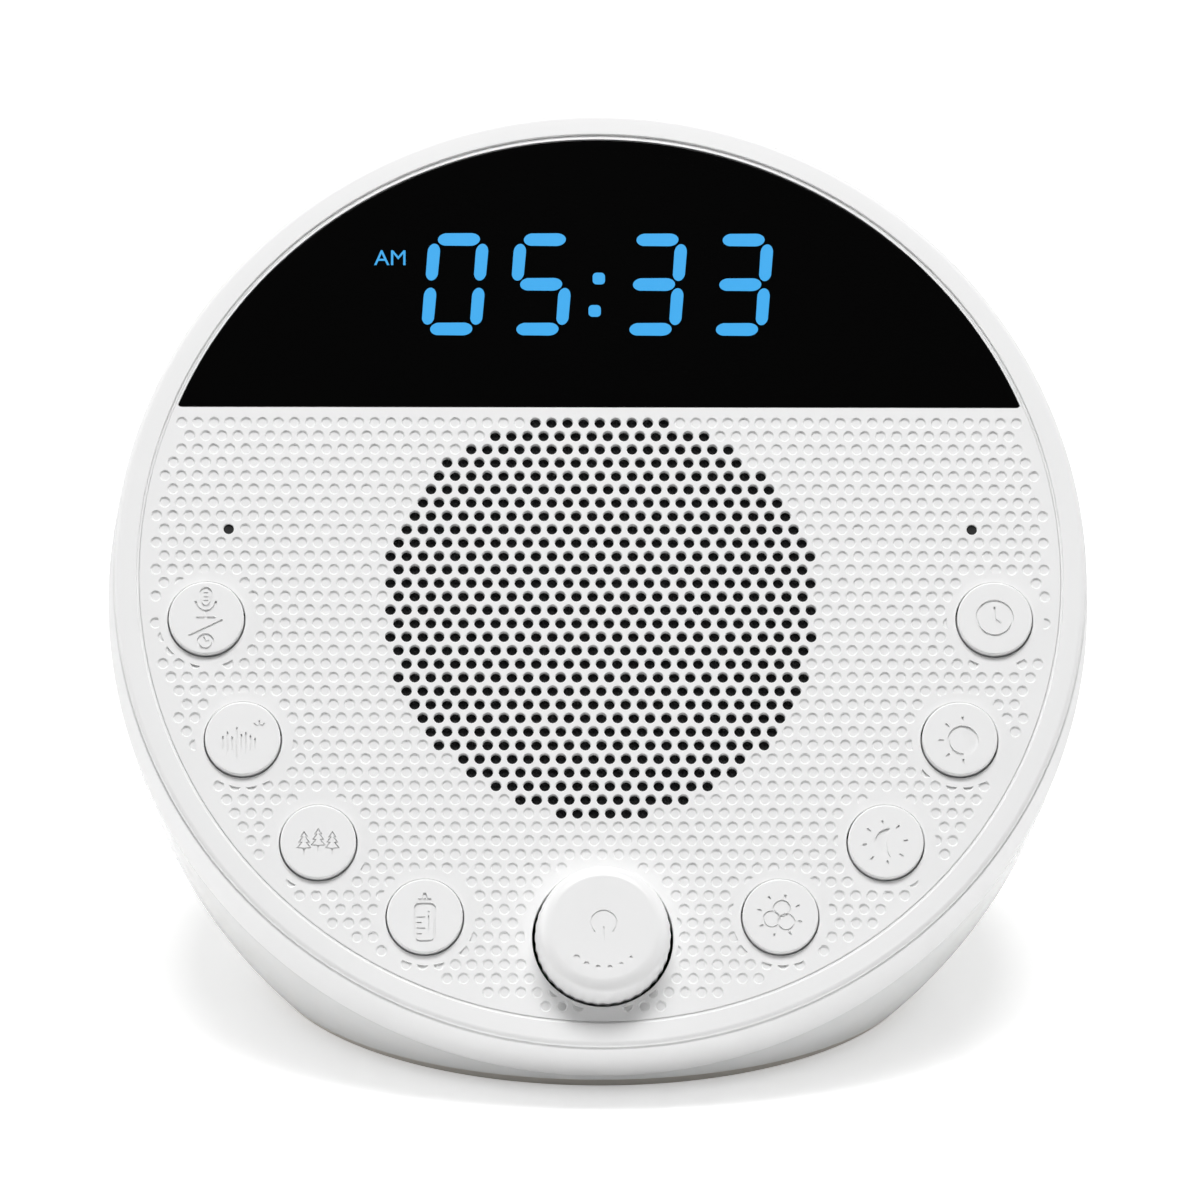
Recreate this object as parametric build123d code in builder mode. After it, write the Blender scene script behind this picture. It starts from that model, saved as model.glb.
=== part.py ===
from build123d import *
from math import cos, radians, sin, sqrt
import os

# White noise sound machine: a ball-shaped night light that carries a round front leaning back.
# Millimetres. +Z is up, the front faces -Y, the origin is the centre of the foot's underside.
# Depths along the face's normal are negative towards the inside, zero on the grille's front.

# --- Driving dimensions -------------------------------------------------------------------
lean = 35.0  # the face's lean back from upright, degrees
face_centre = (0.0, -19.0, 64.7)

ball_r = 64.2
ball_centre = (0.0, 0.0, 45.5)
shell_wall = 2.4
collar_end = -44.8  # depth at which the collar has become the ball
collar_step = 1.2  # how far the collar's front edge stands in from the bezel
skirt_z = 1.4  # lower edge of the ball, and top of the foot
foot_r = 45.7
base_r = 43.0

bezel_rear_r = 67.5
bezel_front_r = 66.2
bezel_depth = 12.5
lip_top = 0.2
lip_round = 1.4
lip_round_steps = 3
lip_r = 63.25
ledge_r = 61.0
ledge_thickness = 1.8
bezel_inner_r = 64.3

panel_r = 62.6
panel_thickness = 2.4
lens_r = 62.2
lens_thickness = 1.6
lens_chord_y = 23.45
lens_corner_r = 0.8
lens_gap = 0.1

hole_pitch = 4.4
hole_r = 1.3
grille_r = 28.6
grille_y = -5.3
speaker_y = -6.5
mic_site = (50.6, 6.1)
mic_hole_r = 0.7

button_circle_r = 54.05
button_first_angle = 26.25
button_step_angle = 18.83
button_r = 5.1
button_well_r = 5.3
button_top = 1.0
button_bevel = 0.45
button_skirt = 3.2
ear_span = 12.6
ear_width = 2.4
ear_gap = 0.1
stem_side = 3.0
stem_tip_depth = 6.6

knob_y = -51.26
knob_r = 9.1
knob_well_r = 9.4
knob_top = 6.0
knob_top_r = 7.2
knob_base_depth = 1.6
shoulder_steps = 4
flute_top = 2.4
flute_count = 38
flute_depth = 0.2
shaft_r = 2.95
shaft_bore_r = 3.0
shaft_bore_top = 3.6
shaft_tip_depth = 6.6
plunger_side = 3.8
plunger_gap = 0.05
plunger_tip_depth = 7.6
encoder_side = 12.0
encoder_top_depth = 3.9
encoder_neck_r = 4.2
encoder_neck_depth = 2.7
encoder_bore_depth = 8.5

board_depth = 9.0
board_thickness = 1.6
board_r = 57.1
board_top_y = 21.0
board_hole_r = 33.0  # round opening that lets the speaker through
switch_height = 3.4
switch_side = 6.0
switch_socket_depth = 2.0
socket_play = 0.4
mic_r = 3.0
mic_depth = 5.2

chassis_thickness = 2.5
chassis_r = 63.6
chassis_drop = 0.9
chassis_hole_r = 27.5
inner_floor_z = 8.0  # the chassis and light board end here, above the base
light_post_r = 3.0
light_board_depth = 17.5
light_board_y = -3.0
light_board_r = 50.0
light_board_hole_r = 30.0
led_circle_r = 40.0
led_count = 12
led_side = 5.0
led_height = 1.6

screw_r = 1.3
screw_head_r = 2.2
screw_head_height = 1.3
bezel_boss_r = 3.6
bezel_boss_depth = 3.4
speaker_post_circle_r = 31.6
speaker_post_r = 2.6
speaker_seat_depth = 3.9
board_post_r = 2.8

flange_z = 3.4
flange_thickness = 2.0
flange_r = 47.5
flange_hole_r = 29.0
base_screw_circle_r = 34.0
base_boss_r = 3.4
base_boss_height = 9.0
base_screw_length = 7.0
counterbore_depth = 1.0
counterbore_play = 0.3

inlet_drop = 24.0  # how far below level the inlet points, degrees
inlet_recess = 2.4
inlet_recess_r = 7.5
inlet_pad_r = 10.0
inlet_pad_depth = 6.0
port_width = 8.9
port_height = 3.2
port_wall = 0.35
port_length = 6.6
port_play = 0.2
tongue_width = 6.7
tongue_height = 0.7
power_board_width = 20.0
power_board_length = 16.0
power_board_gap = 0.2
power_board_rise = 2.4

digit_height = 14.85
digit_width = 8.4
digit_pitch = 11.97
digit_slant = 0.08
segment_width = 1.9
segment_gap = 0.6
bar_length = 5.2
digits_left_x = -24.3
colon_gap = 1.32  # extra room between the hours and the minutes
colon_side = 1.7
colon_rise = 2.4
light_bar_height = 0.7
display_x = -2.0
display_y = 41.4
module_width = 61.0
module_height = 19.0
module_rim = 1.0
display_board_height = 21.0
ribbon_width = 12.0
ribbon_length = 16.0
ribbon_y = 26.0
ribbon_thickness = 0.3

# --- Frames and helpers -------------------------------------------------------------------
face = Plane(
    origin=face_centre, x_dir=(1, 0, 0), z_dir=(0, -cos(radians(lean)), sin(radians(lean)))
)
ball_in_face = face.to_local_coords(Vector(*ball_centre))
ball_y, ball_h = ball_in_face.Y, ball_in_face.Z
board_back = -board_depth - board_thickness
collar_start = -bezel_depth

os.makedirs("parts", exist_ok=True)


def save(builder, name):
    """Label a finished piece and write it as its own file."""
    builder.part.label = name
    export_step(builder.part, f"parts/{name}.step")


def on_circle(radius, angle):
    """A place on a circle about the face's centre, angle from straight down, + to the right."""
    return (radius * sin(radians(angle)), -radius * cos(radians(angle)))


def slab(sites, shape, front, back, mode=Mode.ADD):
    """Extrude a flat shape, drawn at each of the sites on the face, from one depth to another."""
    with BuildSketch(face.offset(front)) as outline:
        with Locations(*sites):
            shape()
    extrude(outline.sketch, amount=back - front, mode=mode)


def quarter_round(centre, across, along, steps):
    """Points of a faceted quarter round, from the flat front to the side."""
    turns = [radians(90 * step / steps) for step in range(steps + 1)]
    return [(centre[0] + across * sin(t), centre[1] + along * cos(t)) for t in turns]


def screw_outline(mode=Mode.ADD):
    """The plain six-sided section of a screw's shank and of the hole that it fills."""
    RegularPolygon(screw_r, 6, mode=mode)


def screws(sites, head_depth, tip_depth):
    """Screws driven from behind, with plain eight-sided heads."""
    slab(sites, lambda: RegularPolygon(screw_head_r, 8), head_depth - screw_head_height, head_depth)
    slab(sites, screw_outline, head_depth, tip_depth)


def body_ring(depth, inset):
    """Centre and radius of the rear body's round section at a depth behind the face.

    The section follows the ball. On top of the collar it runs straight instead, from the
    bezel's rear edge to where that line touches the ball, so that the collar flows into it.
    """
    span = sqrt((ball_r - inset) ** 2 - (depth - ball_h) ** 2)
    bottom, top = ball_y - span, ball_y + span
    if depth > collar_end:
        end_span = sqrt((ball_r - inset) ** 2 - (collar_end - ball_h) ** 2)
        top_start = bezel_rear_r - collar_step - inset
        share = (depth - collar_start) / (collar_end - collar_start)
        top = top_start + (ball_y + end_span - top_start) * share
    return (top + bottom) / 2, (top - bottom) / 2


def body_loft(depths, inset, ruled):
    """Loft the rear body through its round sections at the given depths."""
    with BuildPart() as form:
        for depth in depths:
            middle, radius = body_ring(depth, inset)
            with BuildSketch(face.offset(depth)):
                with Locations((0, middle)):
                    Circle(radius)
        loft(ruled=ruled)
    return form.part


# --- Front bezel --------------------------------------------------------------------------
# A moulded ring: flat lip, rounded crest, flaring side wall, and a ledge that seats the panel.
chassis_screw_sites = [on_circle(60.8, angle) for angle in (54, 126, -54, -126)]

with BuildPart() as front_bezel:
    with BuildSketch(Plane(origin=face_centre, x_dir=face.x_dir, z_dir=-face.y_dir)):
        with BuildLine():
            crest = (bezel_front_r - lip_round, lip_top - lip_round)
            Polyline(
                *quarter_round(crest, lip_round, lip_round, lip_round_steps),
                (bezel_rear_r, -bezel_depth),
                (bezel_inner_r, -bezel_depth),
                (bezel_inner_r, -panel_thickness - ledge_thickness),
                (ledge_r, -panel_thickness - ledge_thickness),
                (ledge_r, -panel_thickness),
                (lip_r, -panel_thickness),
                (lip_r, lip_top),
                close=True,
            )
        make_face()
    revolve(axis=Axis(face_centre, face.z_dir))
    slab(chassis_screw_sites, lambda: Circle(bezel_boss_r), -bezel_depth, -bezel_boss_depth)
    slab(chassis_screw_sites, screw_outline, -bezel_depth, -6.0, Mode.SUBTRACT)
save(front_bezel, "front_bezel")

# --- Grille panel -------------------------------------------------------------------------
# One moulding: speaker holes, microphone holes, button and knob wells, and the lens pocket.
button_angles = [button_first_angle + button_step_angle * step for step in range(4)]
button_sites = [on_circle(button_circle_r, a) for a in button_angles]
button_sites += [on_circle(button_circle_r, -a) for a in button_angles]
mic_sites = [mic_site, (-mic_site[0], mic_site[1])]
speaker_screw_sites = [
    (speaker_post_circle_r * cos(radians(a)), speaker_y + speaker_post_circle_r * sin(radians(a)))
    for a in (45, 135, 225, 315)
]
board_screw_sites = [(43, 14), (-43, 14), (38, -28), (-38, -28)]

hole_sites = []
reach = int(grille_r / hole_pitch * 2 / sqrt(3)) + 1
for row in range(-reach, reach + 1):
    for column in range(-reach, reach + 1):
        x = (column + 0.5 * (row % 2)) * hole_pitch
        y = row * hole_pitch * sqrt(3) / 2
        if sqrt(x * x + y * y) <= grille_r - hole_r:
            hole_sites.append((x, grille_y + y))


def lens_outline(radius, chord):
    """The D-shaped window: a disc kept above a level chord, with small rounded corners."""
    Circle(radius)
    with Locations((0, chord - radius)):
        Rectangle(2 * radius, 2 * radius, mode=Mode.SUBTRACT)


display_site = [(display_x, display_y)]


def display_window():
    """The opening behind the lens, a rim smaller all round than the display module."""
    Rectangle(module_width - 2 * module_rim, module_height - 2 * module_rim)


with BuildPart() as grille_panel:
    with BuildSketch(face):
        Circle(panel_r)
        with Locations(*hole_sites):
            RegularPolygon(hole_r, 6, mode=Mode.SUBTRACT)
        with Locations(*mic_sites):
            RegularPolygon(mic_hole_r, 6, mode=Mode.SUBTRACT)
        with Locations(*button_sites):
            Circle(button_well_r, mode=Mode.SUBTRACT)
        with Locations((0, knob_y)):
            Circle(knob_well_r, mode=Mode.SUBTRACT)
    extrude(amount=-panel_thickness)
    with BuildSketch(face):
        lens_outline(lens_r + lens_gap, lens_chord_y)
    extrude(amount=-lens_thickness, mode=Mode.SUBTRACT)
    slab(display_site, display_window, 0, -panel_thickness, Mode.SUBTRACT)
    slab(speaker_screw_sites, lambda: Circle(speaker_post_r), -panel_thickness, -speaker_seat_depth)
    slab(speaker_screw_sites, screw_outline, -speaker_seat_depth, -1.2, Mode.SUBTRACT)
    slab(board_screw_sites, lambda: Circle(board_post_r), -panel_thickness, -board_depth)
    slab(board_screw_sites, screw_outline, -board_depth, -4.0, Mode.SUBTRACT)
save(grille_panel, "grille_panel")

# --- Display ------------------------------------------------------------------------------
with BuildPart() as display_lens:
    with BuildSketch(face):
        lens_outline(lens_r, lens_chord_y + lens_gap)
    extrude(amount=-lens_thickness)
    edges = display_lens.edges().filter_by(Axis(face_centre, face.z_dir))
    fillet(edges, lens_corner_r)
save(display_lens, "display_lens")

with BuildPart() as display_module:
    outline = lambda: Rectangle(module_width, module_height)
    slab(display_site, outline, -panel_thickness, -board_depth)
save(display_module, "display_module")

with BuildPart() as display_board:
    outline = lambda: Rectangle(module_width, display_board_height)
    slab(display_site, outline, -board_depth, board_back)
save(display_board, "display_board")

with BuildPart() as display_ribbon:
    outline = lambda: Rectangle(ribbon_width, ribbon_length)
    slab([(0, ribbon_y)], outline, board_back, board_back - ribbon_thickness)
save(display_ribbon, "display_ribbon")


def slanted(x, y):
    """Lean a point of a digit to the right in step with its height."""
    return (x + (y - display_y) * digit_slant, y)


def segment(x, y, length, upright):
    """One pointed bar of a digit, centred on x, y."""
    half, tip = segment_width / 2, length / 2
    outline = [(-tip, 0), (-tip + half, half), (tip - half, half)]
    outline += [(-px, -py) for px, py in outline]
    if upright:
        outline = [(-py, px) for px, py in outline]
    with BuildLine() as bar:
        Polyline(*[slanted(x + px, y + py) for px, py in outline], close=True)
    make_face(bar.edges())


with BuildPart() as digit_light_bars:
    with BuildSketch(face.offset(-panel_thickness)):
        for digit in range(4):
            left = digits_left_x + segment_width / 2 + digit * digit_pitch
            left += colon_gap * (digit > 1)
            right = left + digit_width - segment_width
            reach = (digit_height - segment_width) / 2
            for level in (-1, 0, 1):
                segment((left + right) / 2, display_y + level * reach, bar_length, False)
            for side in (left, right):
                for level in (-0.5, 0.5):
                    segment(side, display_y + level * reach, reach - segment_gap, True)
        for level in (-colon_rise, colon_rise):
            with Locations(slanted(0, display_y + level)):
                Rectangle(colon_side, colon_side)
    extrude(amount=light_bar_height)
save(digit_light_bars, "digit_light_bars")

# --- Boards and switches ------------------------------------------------------------------
with BuildPart() as main_board:
    with BuildSketch(face.offset(-board_depth)):
        Circle(board_r)
        with Locations((0, speaker_y)):
            Circle(board_hole_r, mode=Mode.SUBTRACT)
        with Locations((0, board_top_y + board_r)):
            Rectangle(2 * board_r, 2 * board_r, mode=Mode.SUBTRACT)
        with Locations(*board_screw_sites):
            screw_outline(Mode.SUBTRACT)
    extrude(amount=-board_thickness)
save(main_board, "main_board")

with BuildPart() as board_screws:
    screws(board_screw_sites, board_back, -5.0)
save(board_screws, "board_screws")

switch_top = -board_depth + switch_height
with BuildPart() as tact_switches:
    with BuildSketch(face.offset(-board_depth)):
        with Locations(*button_sites):
            Rectangle(switch_side, switch_side)
    extrude(amount=switch_height)
    with BuildSketch(face.offset(switch_top)):
        with Locations(*button_sites):
            Rectangle(stem_side + socket_play, stem_side + socket_play)
    extrude(amount=-switch_socket_depth, mode=Mode.SUBTRACT)
save(tact_switches, "tact_switches")

with BuildPart() as microphones:
    slab(mic_sites, lambda: Circle(mic_r), -panel_thickness, -mic_depth)
save(microphones, "microphones")

# --- Buttons ------------------------------------------------------------------------------
# Each cap slides in its own well; two ears behind the panel keep it in, a stem works a switch.
button_names = ["colour", "night_light", "brightness", "clock"]
button_names += ["lullaby", "nature", "white_noise", "record_timer"]

for button_name, site in zip(button_names, button_sites):
    with BuildPart() as button:
        slab([site], lambda: Circle(button_r), button_top, -button_skirt)
        cap_rim = button.faces().sort_by(Axis(face_centre, face.z_dir))[-1].edges()
        chamfer(cap_rim, button_bevel)
        ears = lambda: Rectangle(ear_span, ear_width)
        slab([site], ears, -panel_thickness - ear_gap, -button_skirt)
        slab([site], lambda: Rectangle(stem_side, stem_side), -button_skirt, -stem_tip_depth)
    save(button, f"button_{button_name}")

# --- Knob and its encoder -----------------------------------------------------------------
knob_site = (0, knob_y)
knob_frame = Plane(
    origin=face.from_local_coords(Vector(0, knob_y, 0)), x_dir=face.x_dir, z_dir=face.z_dir
)
knob_section = Plane(origin=knob_frame.origin, x_dir=face.x_dir, z_dir=-face.y_dir)

with BuildPart() as knob:
    with BuildSketch(knob_frame.offset(-knob_base_depth)):
        with BuildLine():
            rim = []
            for step in range(2 * flute_count):
                angle = radians(180 * step / flute_count)
                radius = knob_r - flute_depth * (step % 2)
                rim.append((radius * cos(angle), radius * sin(angle)))
            Polyline(*rim, close=True)
        make_face()
    extrude(amount=knob_base_depth + flute_top)
    shoulder_r = knob_r - flute_depth - 0.05
    with BuildSketch(knob_section):
        with BuildLine():
            across, along = shoulder_r - knob_top_r, knob_top - flute_top
            shoulder = quarter_round((knob_top_r, flute_top), across, along, shoulder_steps)
            Polyline((0, flute_top), (0, knob_top), *shoulder, close=True)
        make_face()
    revolve(axis=Axis(knob_frame.origin, face.z_dir))
    bore = lambda: Circle(shaft_bore_r)
    slab([knob_site], bore, -knob_base_depth, shaft_bore_top, Mode.SUBTRACT)
save(knob, "knob")

with BuildPart() as encoder_shaft:
    slab([knob_site], lambda: Circle(shaft_r), shaft_bore_top, -shaft_tip_depth)
save(encoder_shaft, "encoder_shaft")

with BuildPart() as push_plunger:
    outline = lambda: Rectangle(plunger_side, plunger_side)
    slab([knob_site], outline, -shaft_tip_depth - plunger_gap, -plunger_tip_depth)
save(push_plunger, "push_plunger")

with BuildPart() as encoder_body:
    can = lambda: Rectangle(encoder_side, encoder_side)
    slab([knob_site], can, -encoder_top_depth, -board_depth)
    neck = lambda: Circle(encoder_neck_r)
    slab([knob_site], neck, -encoder_neck_depth, -encoder_top_depth)
    slab([knob_site], bore, -encoder_neck_depth, -encoder_bore_depth, Mode.SUBTRACT)
save(encoder_body, "encoder_body")

# --- Speaker ------------------------------------------------------------------------------
speaker_origin = face.from_local_coords(Vector(0, speaker_y, 0))
speaker_section = Plane(origin=speaker_origin, x_dir=face.x_dir, z_dir=-face.y_dir)
speaker_axis = Axis(speaker_origin, face.z_dir)


def turned(outline):
    """Revolve a closed outline of radius and depth pairs about the speaker's axis."""
    with BuildSketch(speaker_section) as profile:
        with BuildLine():
            Polyline(*outline, close=True)
        make_face()
    revolve(profile.sketch, axis=speaker_axis)


with BuildPart() as speaker_gasket:
    turned([(26.4, -2.4), (28.8, -2.4), (28.8, -3.9), (26.4, -3.9)])
save(speaker_gasket, "speaker_gasket")

with BuildPart() as speaker_frame:
    turned([(25.6, -3.9), (29.2, -3.9), (29.2, -5.1), (26.4, -5.1), (26.4, -9.0), (17.0, -17.0),
            (17.0, -18.2), (8.0, -18.2), (8.0, -17.0), (16.0, -17.0), (25.6, -8.6)])
    slab(speaker_screw_sites, lambda: Circle(3.0), -3.9, -5.1)
    slab(speaker_screw_sites, screw_outline, -3.9, -5.1, Mode.SUBTRACT)
save(speaker_frame, "speaker_frame")

with BuildPart() as speaker_screws:
    screws(speaker_screw_sites, -5.1, -1.8)
save(speaker_screws, "speaker_screws")

with BuildPart() as speaker_surround:
    turned([(25.6, -4.4), (23.8, -3.4), (22.0, -4.4), (22.0, -4.9), (25.6, -4.9)])
save(speaker_surround, "speaker_surround")

with BuildPart() as speaker_cone:
    turned([(22.0, -4.4), (9.0, -11.0), (0, -8.2), (0, -8.7), (8.4, -11.3), (8.4, -16.0),
            (9.0, -16.0), (9.0, -11.5), (22.0, -4.9)])
save(speaker_cone, "speaker_cone")

with BuildPart() as speaker_magnet:
    turned([(0, -12.4), (7.6, -12.4), (7.6, -18.2), (18.0, -18.2), (18.0, -26.0), (0, -26.0)])
save(speaker_magnet, "speaker_magnet")

# --- Chassis and night light --------------------------------------------------------------
light_post_sites = [(0, 44), (38, -30), (-38, -30)]
chassis_back = -bezel_depth - chassis_thickness

with BuildPart() as chassis:
    with BuildSketch(face.offset(-bezel_depth)):
        with Locations((0, -chassis_drop)):
            Circle(chassis_r)
        with Locations((0, speaker_y)):
            Circle(chassis_hole_r, mode=Mode.SUBTRACT)
        with Locations(*chassis_screw_sites):
            screw_outline(Mode.SUBTRACT)
    extrude(amount=-chassis_thickness)
    slab(light_post_sites, lambda: Circle(light_post_r), chassis_back, -light_board_depth)
    split(bisect_by=Plane.XY.offset(inner_floor_z), keep=Keep.TOP)
save(chassis, "chassis")

with BuildPart() as chassis_screws:
    screws(chassis_screw_sites, chassis_back, -7.0)
save(chassis_screws, "chassis_screws")

with BuildPart() as light_board:
    with BuildSketch(face.offset(-light_board_depth)):
        with Locations((0, light_board_y)):
            Circle(light_board_r)
            Circle(light_board_hole_r, mode=Mode.SUBTRACT)
    extrude(amount=-board_thickness)
    split(bisect_by=Plane.XY.offset(inner_floor_z), keep=Keep.TOP)
save(light_board, "light_board")

with BuildPart() as night_light_leds:
    with BuildSketch(face.offset(-light_board_depth - board_thickness)):
        with Locations((0, light_board_y)):
            with PolarLocations(led_circle_r, led_count):
                Rectangle(led_side, led_side)
    extrude(amount=-led_height)
save(night_light_leds, "night_light_leds")

# --- Rear shell ---------------------------------------------------------------------------
# A milky ball with an open front. It has a flange inside its foot, screw bosses and the inlet.
base_screw_sites = [
    (base_screw_circle_r * cos(radians(a)), base_screw_circle_r * sin(radians(a)))
    for a in (45, 135, 225, 315)
]

inlet_dir = Vector(0, cos(radians(inlet_drop)), -sin(radians(inlet_drop)))
inlet = Plane(origin=Vector(*ball_centre) + inlet_dir * ball_r, x_dir=(1, 0, 0), z_dir=inlet_dir)

hollow_r = ball_r - shell_wall
collar_depths = [collar_start + (collar_end - collar_start) * step / 3 for step in range(4)]
collar = body_loft(collar_depths, 0, ruled=False)
hollow_depths = [collar_start, (collar_start + collar_end) / 2, collar_end]
hollow_depths += [ball_h - hollow_r * sin(radians(angle)) for angle in (35, 53, 71, 84)]
hollow = body_loft(hollow_depths, shell_wall, ruled=True)

with BuildPart() as outer_form:
    with Locations(ball_centre):
        Sphere(ball_r)
    split(bisect_by=face.offset(collar_end), keep=Keep.BOTTOM)
    add(collar)

with BuildPart() as rear_shell:
    add(outer_form.part)
    add(hollow, mode=Mode.SUBTRACT)
    with BuildSketch(Plane.XY.offset(flange_z)):
        Circle(flange_r)
        Circle(flange_hole_r, mode=Mode.SUBTRACT)
    extrude(amount=flange_thickness)
    with BuildSketch(Plane.XY.offset(flange_z)):
        with Locations(*base_screw_sites):
            Circle(base_boss_r)
    extrude(amount=base_boss_height)
    with BuildSketch(inlet.offset(-inlet_pad_depth)):
        Circle(inlet_pad_r)
    extrude(amount=inlet_pad_depth)
    with BuildSketch(inlet.offset(-inlet_pad_depth)):
        with Locations((-9, 4.2), (9, 4.2)):
            Rectangle(2, 1.8)
    extrude(amount=-power_board_length)
    add(outer_form.part, mode=Mode.INTERSECT)
    split(bisect_by=Plane.XY.offset(skirt_z), keep=Keep.TOP)
    with BuildSketch(Plane.XY.offset(skirt_z)):
        Circle(base_r + 0.2)
    extrude(amount=flange_z - skirt_z, mode=Mode.SUBTRACT)
    with BuildSketch(Plane.XY.offset(flange_z)):
        with Locations(*base_screw_sites):
            screw_outline()
    extrude(amount=base_boss_height - 1.0, mode=Mode.SUBTRACT)
    with BuildSketch(inlet.offset(-inlet_recess)):
        Circle(inlet_recess_r)
    extrude(amount=inlet_recess + 1, mode=Mode.SUBTRACT)
    with BuildSketch(inlet.offset(-inlet_recess)):
        SlotOverall(port_width + port_play, port_height + port_play)
    extrude(amount=-inlet_pad_depth, mode=Mode.SUBTRACT)
save(rear_shell, "rear_shell")

with BuildPart() as power_inlet:
    with BuildSketch(inlet.offset(-inlet_recess)):
        SlotOverall(port_width, port_height)
        SlotOverall(port_width - 2 * port_wall, port_height - 2 * port_wall, mode=Mode.SUBTRACT)
        Rectangle(tongue_width, tongue_height)
    extrude(amount=-port_length)
    with BuildSketch(inlet.offset(-inlet_recess - port_length)):
        SlotOverall(port_width, port_height)
    extrude(amount=-1.0)
save(power_inlet, "power_inlet")

with BuildPart() as power_board:
    with BuildSketch(inlet.offset(-inlet_pad_depth - power_board_gap)):
        with Locations((0, power_board_rise)):
            Rectangle(power_board_width, board_thickness)
    extrude(amount=-power_board_length)
save(power_board, "power_board")

# --- Base ---------------------------------------------------------------------------------
with BuildPart() as base_plate:
    with BuildSketch(Plane.XY.offset(skirt_z)):
        Circle(base_r)
    extrude(amount=flange_z - skirt_z)
    with BuildSketch(Plane.XY.offset(skirt_z)):
        with Locations(*base_screw_sites):
            Circle(screw_head_r + counterbore_play)
    extrude(amount=counterbore_depth, mode=Mode.SUBTRACT)
    with BuildSketch(Plane.XY.offset(skirt_z)):
        with Locations(*base_screw_sites):
            screw_outline()
    extrude(amount=flange_z - skirt_z, mode=Mode.SUBTRACT)
save(base_plate, "base_plate")

with BuildPart() as base_screws:
    with BuildSketch(Plane.XY.offset(skirt_z)):
        with Locations(*base_screw_sites):
            RegularPolygon(screw_head_r, 8)
    extrude(amount=counterbore_depth)
    with BuildSketch(Plane.XY.offset(skirt_z + counterbore_depth)):
        with Locations(*base_screw_sites):
            screw_outline()
    extrude(amount=base_screw_length)
save(base_screws, "base_screws")

with BuildPart() as rubber_foot:
    with BuildSketch():
        Circle(foot_r)
    extrude(amount=skirt_z)
save(rubber_foot, "rubber_foot")
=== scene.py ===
# %% [markdown]
# # A white noise sound machine
#
# The object is a milky ball on a flat foot. The ball carries a round front that leans back by
# 35 degrees, with a black clock window, a speaker grille, eight round buttons and one knob.
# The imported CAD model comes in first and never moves. Every piece made below is fitted to it,
# and rides on one of its bodies, so the buttons still press and the knob still turns.

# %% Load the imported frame
import math

import bmesh
import bpy
from mathutils import Matrix, Vector


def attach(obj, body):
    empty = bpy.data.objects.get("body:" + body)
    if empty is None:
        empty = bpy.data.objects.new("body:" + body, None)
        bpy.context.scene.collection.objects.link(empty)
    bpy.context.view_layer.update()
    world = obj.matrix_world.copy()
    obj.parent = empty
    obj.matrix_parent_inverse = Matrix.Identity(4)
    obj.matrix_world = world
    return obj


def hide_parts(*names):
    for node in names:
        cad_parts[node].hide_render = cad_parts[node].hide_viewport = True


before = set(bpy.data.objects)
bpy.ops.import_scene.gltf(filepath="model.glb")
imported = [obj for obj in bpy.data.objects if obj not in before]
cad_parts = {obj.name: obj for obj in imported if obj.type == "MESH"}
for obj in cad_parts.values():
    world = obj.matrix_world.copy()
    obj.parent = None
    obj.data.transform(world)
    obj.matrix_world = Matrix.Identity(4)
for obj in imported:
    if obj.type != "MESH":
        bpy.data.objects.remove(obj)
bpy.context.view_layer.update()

# %% [markdown]
# ## Camera
#
# A small object photographed from about a metre away needs a long lens, or its near parts look
# too big. The camera stands almost straight in front, a little above, and looks down by 19
# degrees. Three turns place it: a tilt up from the floor, a swing about the vertical, and a very
# small roll.

# %% Camera
CAMERA_PLACE = Vector((-0.02366, -0.97176, 0.38413))
CAMERA_TILT = math.radians(90 - 18.75)
CAMERA_SWING = math.radians(-1.42)
CAMERA_ROLL = math.radians(0.51)

camera = bpy.data.objects.new("camera", bpy.data.cameras.new("camera"))
camera.data.sensor_width = 36.0
camera.data.lens = 221.4
camera.data.clip_start = 0.05
camera.matrix_world = (
    Matrix.Translation(CAMERA_PLACE)
    @ Matrix.Rotation(CAMERA_SWING, 4, "Z")
    @ Matrix.Rotation(CAMERA_TILT, 4, "X")
    @ Matrix.Rotation(CAMERA_ROLL, 4, "Z")
)
bpy.context.scene.collection.objects.link(camera)
bpy.context.scene.camera = camera
bpy.context.scene.view_settings.view_transform = "Standard"
print("camera stands", round(CAMERA_PLACE.length, 2), "m from the foot")

# %% [markdown]
# ## Colours and shader nodes
#
# Colours are written as the sRGB hex values that a paint program shows, and one function turns
# them into the linear numbers that shaders add up. One more function adds a shader node with
# its settings and links, so that each material below reads as a short recipe.

# %% Colour and node helpers
MM = 0.001


def linear(code):
    """Turn an sRGB hex colour such as F0EFEC into a linear RGBA tuple."""
    channels = [int(code[i : i + 2], 16) / 255 for i in (0, 2, 4)]
    bent = [c / 12.92 if c <= 0.04045 else ((c + 0.055) / 1.055) ** 2.4 for c in channels]
    return (*bent, 1.0)


def node(tree, kind, inputs=None, **settings):
    """Add a shader node. An input is either a plain value or another node's output socket."""
    made = tree.nodes.new(kind)
    for name, value in settings.items():
        setattr(made, name, value)
    for name, value in (inputs or {}).items():
        if isinstance(value, bpy.types.NodeSocket):
            tree.links.new(value, made.inputs[name])
        else:
            made.inputs[name].default_value = value
    return made


def new_material(name):
    """An empty node material with only its output node."""
    material = bpy.data.materials.new(name)
    material.use_nodes = True
    material.node_tree.nodes.clear()
    return material, material.node_tree


print("mid grey 808080 is", round(linear("808080")[0], 3), "in linear light")

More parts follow.
